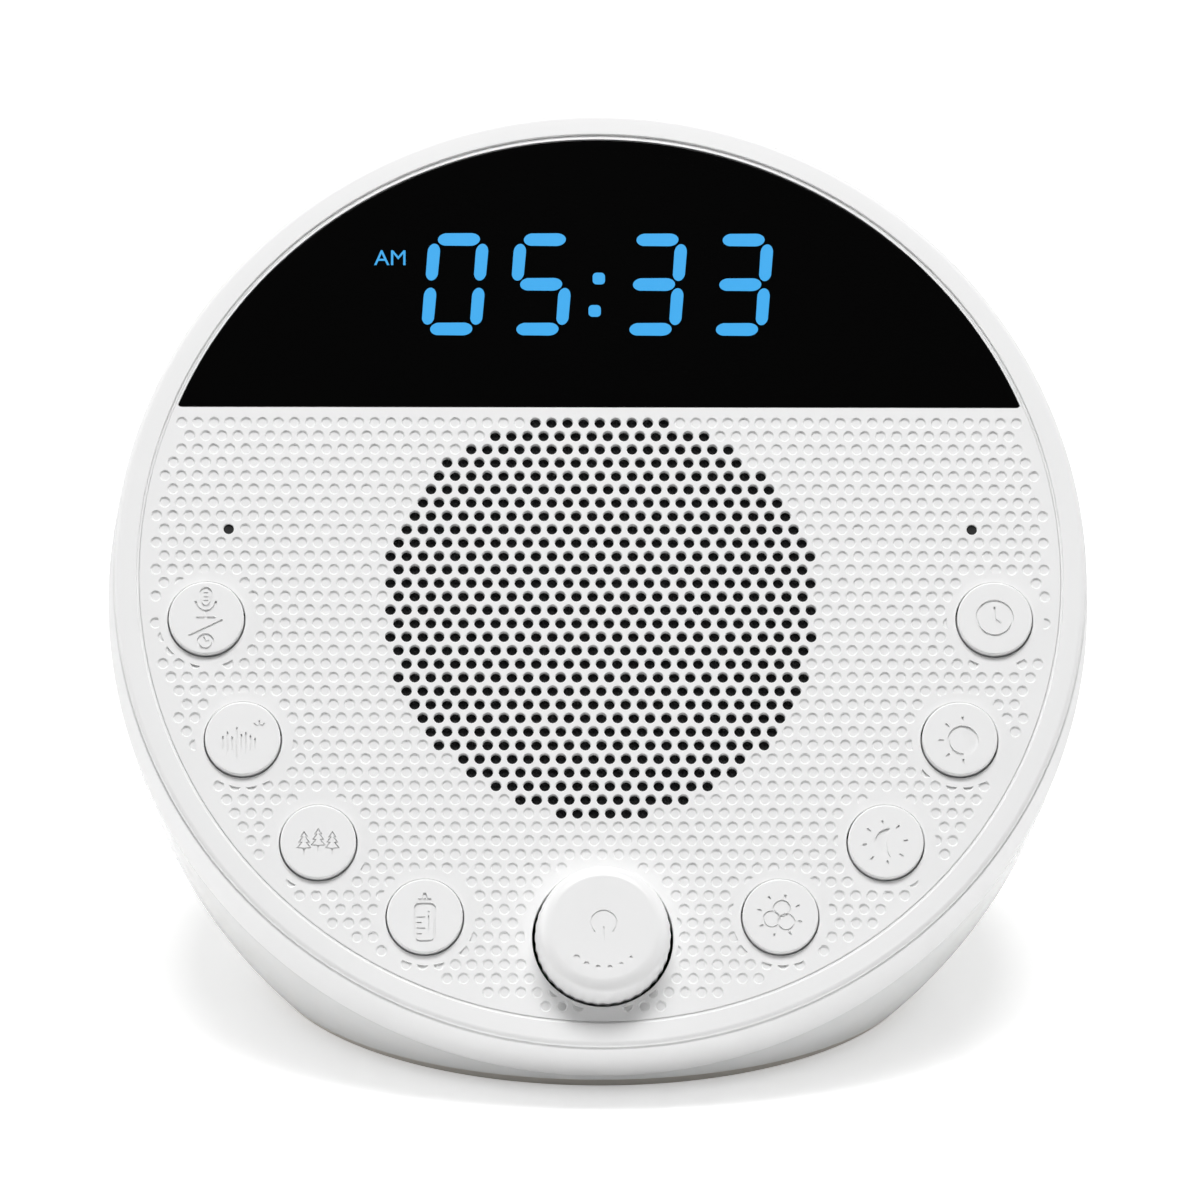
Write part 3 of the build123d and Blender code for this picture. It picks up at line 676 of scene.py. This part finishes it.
# The posts start inside the panel, so that the two forms overlap.
POST_START, POST_SIDES = -PANEL_THICKNESS + 0.1, 32
for corner in (45, 135, 225, 315):
    angle = math.radians(corner)
    drum(panel, SPEAKER_POST_CIRCLE_R * math.cos(angle),
         SPEAKER_Y + SPEAKER_POST_CIRCLE_R * math.sin(angle),
         SPEAKER_POST_R, POST_START, SPEAKER_POST_END, POST_SIDES)
for x, y in BOARD_POSTS:
    drum(panel, x, y, BOARD_POST_R, POST_START, BOARD_POST_END, POST_SIDES)
piece("perforated_panel", panel, abs_satin, stands_for=["grille_panel"])

# %% [markdown]
# ## Clock window
#
# A D-shaped window of smoked acrylic lies flush in the panel's pocket. A disc cut by one plane
# gives the outline. The two corners are rounded, and the front edge has the fine polished
# chamfer that catches light round the window.

# %% Clock window
window_pane = d_shape(LENS_R, LENS_CHORD_Y + LENS_GAP, 0.8, 0, -LENS_THICKNESS)
front_edge = [edge for edge in window_pane.edges
              if all(abs(v.co.z) < 1e-4 for v in edge.verts) and len(edge.link_faces) == 2]
bmesh.ops.bevel(window_pane, geom=front_edge, offset=0.12, segments=3, profile=0.5,
                affect="EDGES", material=-1)
piece("smoked_window", window_pane, smoked, stands_for=["display_lens"])

# %% [markdown]
# ## Lit clock
#
# The clock shows its time in slanted bars with drawn-out ends. A bar is an oval pulled apart: the
# right half of its points moves one way and the left half the other. The bars are a film on the
# window, a few hundredths of a millimetre proud, so that they glow flat and crisp. Which bars
# of the seven are lit for each digit is written as letters, a to g, as display makers do.

# %% Lit bars
DIGIT_SLANT = 0.082
DIGIT_Y = 41.25
DIGIT_CENTRES = {-19.8: "0", -7.95: "5", 7.6: "3", 19.5: "3"}
LIT_BARS = {"0": "abcdef", "3": "abcdg", "5": "acdfg"}
BAR_LENGTH, BAR_WIDTH = 5.8, 1.85
SIDE_BAR_LENGTH, SIDE_BAR_WIDTH = 5.35, 1.72
END_STRETCH = 1.4
BAR_RISE, SIDE_BAR_RISE, SIDE_BAR_OUT = 6.5, 3.2, 3.32
FILM_PROUD, FILM_SUNK = 0.03, 0.1
COLON_DOTS = [(0.0, 42.1), (-0.6, 37.4)]
COLON_SIDE = 1.7


def bar(form, x, y, length, width, upright):
    """One flat bar with drawn-out ends: an oval whose two halves are pulled apart."""
    made = bmesh.ops.create_circle(form, cap_ends=True, segments=24, radius=width / 2)["verts"]
    for point in made:
        side = math.copysign(1, round(point.co.x, 4) or 1)
        point.co.x = END_STRETCH * point.co.x + side * (length - END_STRETCH * width) / 2
    if upright:
        bmesh.ops.rotate(form, verts=made, matrix=Matrix.Rotation(math.pi / 2, 3, "Z"))
    bmesh.ops.translate(form, verts=made, vec=(x, y, 0))


def thicken(form, top, bottom):
    """Give flat shapes in the XY plane a top and a bottom."""
    bmesh.ops.translate(form, verts=form.verts, vec=(0, 0, top))
    grown = bmesh.ops.extrude_face_region(form, geom=form.faces[:], use_keep_orig=True)
    lower = [v for v in grown["geom"] if isinstance(v, bmesh.types.BMVert)]
    bmesh.ops.translate(form, verts=lower, vec=(0, 0, bottom - top))
    return form


BARS = {
    "a": (0, BAR_RISE, False), "g": (0, 0, False), "d": (0, -BAR_RISE, False),
    "f": (-SIDE_BAR_OUT, SIDE_BAR_RISE, True), "b": (SIDE_BAR_OUT, SIDE_BAR_RISE, True),
    "e": (-SIDE_BAR_OUT, -SIDE_BAR_RISE, True), "c": (SIDE_BAR_OUT, -SIDE_BAR_RISE, True),
}
digits = bmesh.new()
for centre, digit in DIGIT_CENTRES.items():
    for letter in LIT_BARS[digit]:
        across, rise, upright = BARS[letter]
        length, width = (SIDE_BAR_LENGTH, SIDE_BAR_WIDTH) if upright else (BAR_LENGTH, BAR_WIDTH)
        bar(digits, centre + across, rise, length, width, upright)
lean_over = Matrix(((1, DIGIT_SLANT, 0, 0), (0, 1, 0, DIGIT_Y), (0, 0, 1, 0), (0, 0, 0, 1)))
digits.transform(lean_over)
for x, y in COLON_DOTS:
    dot = bmesh.ops.create_grid(digits, x_segments=1, y_segments=1, size=COLON_SIDE / 2,
                                matrix=Matrix.Translation((x, y, 0)))["verts"]
    bmesh.ops.bevel(digits, geom=dot, offset=0.55, segments=5, profile=0.5, affect="VERTICES",
                    material=-1)
piece("lit_bars", thicken(digits, FILM_PROUD, -FILM_SUNK), blue_light)

# %% Lit letters
AM_LEFT, AM_BASE, AM_HEIGHT = -30.95, 44.0, 2.15
letters = bpy.data.curves.new("lit_am", "FONT")
letters.body = "AM"
letters.size = 1.0
letters.extrude = 0.0
drawn = bpy.data.objects.new("lit_am", letters)
bpy.context.scene.collection.objects.link(drawn)
bpy.context.view_layer.update()
flat = bpy.data.meshes.new_from_object(drawn)
bpy.data.objects.remove(drawn)
am = bmesh.new()
am.from_mesh(flat)
bpy.data.meshes.remove(flat)
tall = max(v.co.y for v in am.verts)
bmesh.ops.scale(am, verts=am.verts, vec=(AM_HEIGHT / tall, AM_HEIGHT / tall, 1))
bmesh.ops.translate(am, verts=am.verts, vec=(AM_LEFT, AM_BASE, 0))
bmesh.ops.remove_doubles(am, verts=am.verts, dist=0.001)
piece("lit_letters", thicken(am, FILM_PROUD, -FILM_SUNK), blue_light)

# %% [markdown]
# ## Button caps and their signs
#
# Each cap is a small round moulding with a softened rim, two ears that keep it behind the panel
# and a square stem that works a switch. Its sign is cut three tenths of a millimetre into the
# front, as the mould would leave it, and no ink fills it: only shade draws it. A sign is put
# together from strokes with round ends, rings and arcs, given in millimetres from the cap's
# centre, so the eight signs are short lists of strokes.

# %% Strokes for the signs
STROKE = 0.3
SIGN_DEPTH = 0.3
# A sign's cutter starts this far above the surface it cuts.
CUT_ABOVE = 0.5
CAP_TOP, CAP_SKIRT, CAP_RIM_ROUND = 0.85, 3.2, 0.24
EAR_SPAN, EAR_WIDTH, STEM_SIDE, STEM_DEPTH = 12.6, 2.4, 3.0, 6.6


def line(form, start, end, width=STROKE):
    """A flat stroke with round ends from one point to another."""
    run = Vector(end) - Vector(start)
    made = bmesh.ops.create_circle(form, cap_ends=True, segments=12, radius=width / 2)["verts"]
    for point in made:
        point.co.x += math.copysign(run.length / 2, round(point.co.x, 4) or 1)
    bmesh.ops.rotate(form, verts=made, matrix=Matrix.Rotation(math.atan2(run.y, run.x), 3, "Z"))
    middle = (Vector(start) + Vector(end)) / 2
    bmesh.ops.translate(form, verts=made, vec=(*middle, 0))


def arc(form, centre, radius, start, end, width=STROKE):
    """A flat curved stroke: a short edge spun about the arc's centre, angles in degrees."""
    heading = math.radians(start)
    rim = [form.verts.new((centre[0] + reach * math.cos(heading),
                           centre[1] + reach * math.sin(heading), 0))
           for reach in (radius - width / 2, radius + width / 2)]
    edge = form.edges.new(rim)
    whole = abs(end - start) >= 360
    bmesh.ops.spin(form, geom=[*rim, edge], cent=(*centre, 0), axis=(0, 0, 1),
                   angle=math.radians(end - start), steps=max(8, round(abs(end - start) / 10)),
                   use_merge=whole)


def rays(form, centre, reach, length, angles):
    """Short strokes that point away from a centre."""
    for angle in angles:
        out = Vector((math.cos(math.radians(angle)), math.sin(math.radians(angle))))
        line(form, Vector(centre) + out * reach, Vector(centre) + out * (reach + length))


def zigzag(form, points, width=STROKE):
    """Strokes that join a row of points."""
    for start, end in zip(points, points[1:]):
        line(form, start, end, width)


print("a stroke is", STROKE, "mm wide and cut", SIGN_DEPTH, "mm deep")


# %% Signs on the left
def sign_record_timer(form):
    """A studio microphone over a slash and a small clock."""
    arc(form, (-0.08, 3.9), 0.68, 0, 180)
    arc(form, (-0.08, 2.75), 0.68, 180, 360)
    for side in (-0.76, 0.6):
        line(form, (side, 2.75), (side, 3.9))
    for rise in (3.9, 3.35, 2.8):
        line(form, (-0.3, rise), (0.15, rise), 0.2)
    arc(form, (-0.08, 2.75), 1.37, 180, 360)
    line(form, (-0.08, 1.3), (-0.08, 0.45))
    line(form, (-1.3, 0.4), (1.15, 0.4))
    line(form, (-2.25, -2.1), (2.1, 0.0))
    arc(form, (-0.08, -2.95), 1.0, 0, 360)
    zigzag(form, [(-0.3, -2.4), (-0.05, -2.95), (0.35, -2.85)], 0.2)


def sign_white_noise(form):
    """Eight bars of a sound wave and a small bird over it."""
    for number, half in enumerate((0.92, 1.54, 0.88, 2.18, 1.2, 1.46, 1.07, 0.67)):
        x = -2.69 + 0.62 * number
        line(form, (x, -0.3 - half), (x, -0.3 + half), 0.22)
    for x in (1.87, 2.53):
        arc(form, (x, 2.55), 0.33, 180, 360, 0.2)
    line(form, (2.2, 2.5), (2.2, 2.85), 0.2)


def sign_nature(form):
    """Three fir trees in outline."""
    for x, top in ((-1.9, 1.35), (0.0, 1.75), (1.9, 1.35)):
        half = [(x, top), (x + 0.45, top - 0.72), (x + 0.18, top - 0.76),
                (x + 0.7, top - 1.45), (x + 0.3, top - 1.5), (x + 0.92, top - 2.25),
                (x + 0.12, top - 2.3)]
        zigzag(form, half, 0.15)
        zigzag(form, [(2 * x - px, py) for px, py in half], 0.15)
        line(form, (x, top - 2.4), (x, top - 3.3), 0.24)


def sign_lullaby(form):
    """A feeding bottle with its scale."""
    for side in (-1.3, 1.3):
        line(form, (side, 1.4), (side, -2.6))
    line(form, (-0.8, 1.95), (0.8, 1.95))
    line(form, (-0.75, -3.15), (0.75, -3.15))
    for x, y, start in ((-0.75, 1.4, 90), (0.75, 1.4, 0), (-0.75, -2.6, 180), (0.75, -2.6, 270)):
        arc(form, (x, y), 0.55, start, start + 90)
    line(form, (-0.75, 2.6), (0.75, 2.6))
    zigzag(form, [(-0.3, 2.65), (-0.1, 3.4), (0.1, 3.4), (0.3, 2.65)], 0.2)
    for number, y in enumerate((0.12, -0.63, -1.42, -2.2)):
        line(form, (-1.0, y), (-0.05 if number % 2 == 0 else -0.5, y), 0.2)
    line(form, (0.52, 0.3), (0.52, -1.9), 0.2)
    line(form, (0.52, 0.85), (0.52, 0.87), 0.24)


print("four signs are drawn")


# %% Signs on the right
def half_disc(form, centre, radius):
    """A filled half disc that faces right."""
    spare = bmesh.new()
    bmesh.ops.create_circle(spare, cap_ends=True, segments=40, radius=radius)
    bmesh.ops.bisect_plane(spare, geom=spare.verts[:] + spare.edges[:] + spare.faces[:],
                           plane_co=(0.06, 0, 0), plane_no=(1, 0, 0), clear_inner=True)
    bmesh.ops.translate(spare, verts=spare.verts, vec=(*centre, 0))
    gather(form, spare)


def crescent(form, centre, radius, hollow_centre, hollow_radius):
    """A filled moon: the part of a disc that a second, larger circle leaves uncovered."""
    spare = bmesh.new()
    bmesh.ops.create_circle(spare, cap_ends=True, segments=48, radius=radius,
                            matrix=Matrix.Translation((*centre, 0)))
    inside = [v for v in spare.verts if math.dist(v.co.xy, hollow_centre) < hollow_radius]
    for point in inside:
        dy = point.co.y - hollow_centre[1]
        point.co.x = hollow_centre[0] - math.sqrt(hollow_radius ** 2 - dy ** 2)
    gather(form, spare)


def sign_colour(form):
    """Three overlapping discs of light with rays round them."""
    for centre in ((0.3, 1.25), (-1.08, -0.2), (0.87, -0.6)):
        arc(form, centre, 1.1, 0, 360, 0.2)
    rays(form, (0.0, 0.25), 2.65, 0.3, [29 + 45 * number for number in range(8)])


def sign_night_light(form):
    """A crescent moon with rays round it."""
    crescent(form, (0.66, 0.28), 2.05, (4.68, 0.28), 4.45)
    rays(form, (0.0, 0.3), 2.62, 0.36, [6 + 45 * number for number in range(8)])


def sign_brightness(form):
    """A sun, half in outline and half filled, with rays on one side."""
    half_disc(form, (0.5, 0.05), 2.08)
    arc(form, (0.5, 0.05), 1.95, 88, 272)
    rays(form, (0.5, 0.05), 2.75, 0.42, (90, 135, 180, 225, 270))


def sign_clock(form):
    """A clock face at four o'clock."""
    arc(form, (0, 0.05), 2.45, 0, 360)
    zigzag(form, [(0, 1.5), (0, -0.05), (0.72, -0.62)])


# Each sign, and how far it sits from the middle of its cap.
SIGNS = {
    "record_timer": (sign_record_timer, (0.0, -0.38)),
    "white_noise": (sign_white_noise, (0.03, -0.42)),
    "nature": (sign_nature, (0.0, 0.0)),
    "lullaby": (sign_lullaby, (0.0, -0.3)),
    "colour": (sign_colour, (-0.1, -0.25)),
    "night_light": (sign_night_light, (-0.12, -0.45)),
    "brightness": (sign_brightness, (-0.08, -0.3)),
    "clock": (sign_clock, (0.0, 0.0)),
}
print("signs:", ", ".join(SIGNS))


# %% Button caps
def block(form, x, y, width, height, top, bottom):
    """Add a plain closed block that stands between two heights."""
    place = Matrix.Translation((x, y, (top + bottom) / 2))
    bmesh.ops.create_cube(form, size=1,
                          matrix=place @ Matrix.Diagonal((width, height, top - bottom, 1)))


for name, (x, y) in button_sites.items():
    cap = bmesh.new()
    drum(cap, 0, 0, BUTTON_R, CAP_TOP, -CAP_SKIRT, sides=72)
    rim = [edge for edge in cap.edges if all(v.co.z > 0 for v in edge.verts)]
    bmesh.ops.bevel(cap, geom=rim, offset=CAP_RIM_ROUND, segments=4, profile=0.5,
                    affect="EDGES", material=-1)
    sign = bmesh.new()
    draw, offset = SIGNS[name]
    draw(sign)
    bmesh.ops.translate(sign, verts=sign.verts, vec=(*offset, 0))
    cap = carve(cap, thicken(sign, CAP_TOP + CUT_ABOVE, CAP_TOP - SIGN_DEPTH), solver="EXACT")
    block(cap, 0, 0, EAR_SPAN, EAR_WIDTH, -PANEL_THICKNESS - 0.1, -CAP_SKIRT)
    block(cap, 0, 0, STEM_SIDE, STEM_SIDE, -CAP_SKIRT, -STEM_DEPTH)
    piece(f"cap_{name}", cap, abs_fine, place=FACE @ Matrix.Translation((x, y, 0)),
          body=f"button_{name}", stands_for=[f"button_{name}"])

# %% [markdown]
# ## Knob
#
# One knob sets the volume when it turns and the power when it is pressed. It is a turned shape:
# a flat top, a wide soft shoulder and a side that is finely scalloped where the fingers hold
# it. The scallops are made by moving the points of the side in and out around the knob, fading
# out towards the shoulder. The power sign and the dots of the volume scale are cut shallowly
# into the top.

# %% Knob
KNOB_TOP, KNOB_R, KNOB_BASE = 6.0, 9.12, 1.6
SHAFT_BORE_R, SHAFT_BORE_TOP = 3.0, 3.6
SCALLOPS, SCALLOP_DEPTH, SCALLOP_TOP = 38, 0.14, 2.2
KNOB_SIGN_DEPTH, KNOB_STROKE = 0.2, 0.2
POWER_CENTRE, POWER_R, POWER_FROM, POWER_TO = (0, 0.6), 1.72, -46, 226
POWER_BAR_TOP, POWER_BAR_BOTTOM = (0, 0.0), (0, -1.9)
VOLUME_DOT_RADII = (0.42, 0.36, 0.33, 0.3, 0.27, 0.24)
VOLUME_R, VOLUME_FROM, VOLUME_STEP = 5.53, 228.6, 16.56

knob_section = [(0, KNOB_TOP), (8.55, KNOB_TOP), (KNOB_R, 1.2), (KNOB_R, -KNOB_BASE),
                (SHAFT_BORE_R, -KNOB_BASE), (SHAFT_BORE_R, SHAFT_BORE_TOP), (0, SHAFT_BORE_TOP)]
knob = turn(outline(knob_section, {1: 1.6, 3: 0.3}, closed=False, segments=10), SCALLOPS * 6)
for point in knob.verts:
    reach = point.co.xy.length
    if reach > KNOB_R - 2.0 and point.co.z < SCALLOP_TOP:
        fade = min(1.0, (SCALLOP_TOP - point.co.z) / 1.6)
        angle = math.atan2(point.co.y, point.co.x)
        inward = SCALLOP_DEPTH * fade * (0.5 - 0.5 * math.cos(SCALLOPS * angle))
        point.co.xy *= (reach - inward) / reach

marks = bmesh.new()
arc(marks, POWER_CENTRE, POWER_R, POWER_FROM, POWER_TO, KNOB_STROKE)
line(marks, POWER_BAR_TOP, POWER_BAR_BOTTOM, KNOB_STROKE)
for number, radius in enumerate(VOLUME_DOT_RADII):
    angle = math.radians(VOLUME_FROM + VOLUME_STEP * number)
    bmesh.ops.create_circle(marks, cap_ends=True, segments=20, radius=radius,
                            matrix=Matrix.Translation((VOLUME_R * math.cos(angle),
                                                       VOLUME_R * math.sin(angle), 0)))
knob = carve(knob, thicken(marks, KNOB_TOP + CUT_ABOVE, KNOB_TOP - KNOB_SIGN_DEPTH),
             solver="EXACT")
piece("knob_cap", knob, abs_fine, place=FACE @ Matrix.Translation((0, KNOB_Y, 0)), body="knob",
      stands_for=["knob"], crease=40)

# %% [markdown]
# ## Rubber foot
#
# The ball stands on a thin disc of silicone rubber. Its edge is rounded, and shallow rings on
# the underside let it grip. It is a turned outline as well.

# %% Rubber foot
FOOT_R, FOOT_HEIGHT = 45.7, 1.4
foot_section = [(0, FOOT_HEIGHT), (FOOT_R, FOOT_HEIGHT), (FOOT_R, 0), (40, 0), (39.4, 0.35),
                (36, 0.35), (35.4, 0), (0, 0)]
foot = turn(outline(foot_section, {1: 0.15, 2: 0.45}, closed=False), 144)
piece("foot_disc", foot, rubber, place=UPRIGHT, stands_for=["rubber_foot"])

# %% [markdown]
# ## Finishes for the CAD parts
#
# The parts inside keep their CAD shape, and so does the ball. Each gets the material that its
# real piece has, written as one table from node to finish.

# %% Finishes of the remaining nodes
FINISHES = {
    "rear_shell": opal, "front_bezel": abs_satin, "grille_panel": abs_satin,
    "display_lens": smoked, "digit_light_bars": blue_light, "display_module": black_abs,
    "display_board": board_green, "display_ribbon": ribbon, "main_board": board_green,
    "tact_switches": black_abs, "microphones": can_metal, "speaker_gasket": foam,
    "speaker_frame": steel, "speaker_surround": black_rubber, "speaker_cone": paper_cone,
    "speaker_magnet": ferrite, "encoder_body": steel, "encoder_shaft": can_metal,
    "push_plunger": black_abs, "chassis": abs_fine, "light_board": board_white,
    "night_light_leds": led_white, "base_plate": abs_fine, "rubber_foot": rubber,
    "power_inlet": steel, "power_board": board_green, "knob": abs_fine,
    "board_screws": screw_steel, "speaker_screws": screw_steel, "chassis_screws": screw_steel,
    "base_screws": screw_steel,
}
for name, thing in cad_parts.items():
    finish = FINISHES.get(name, abs_fine)
    for place in thing.material_slots:
        place.material = finish
print("CAD nodes given a finish:", len(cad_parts))
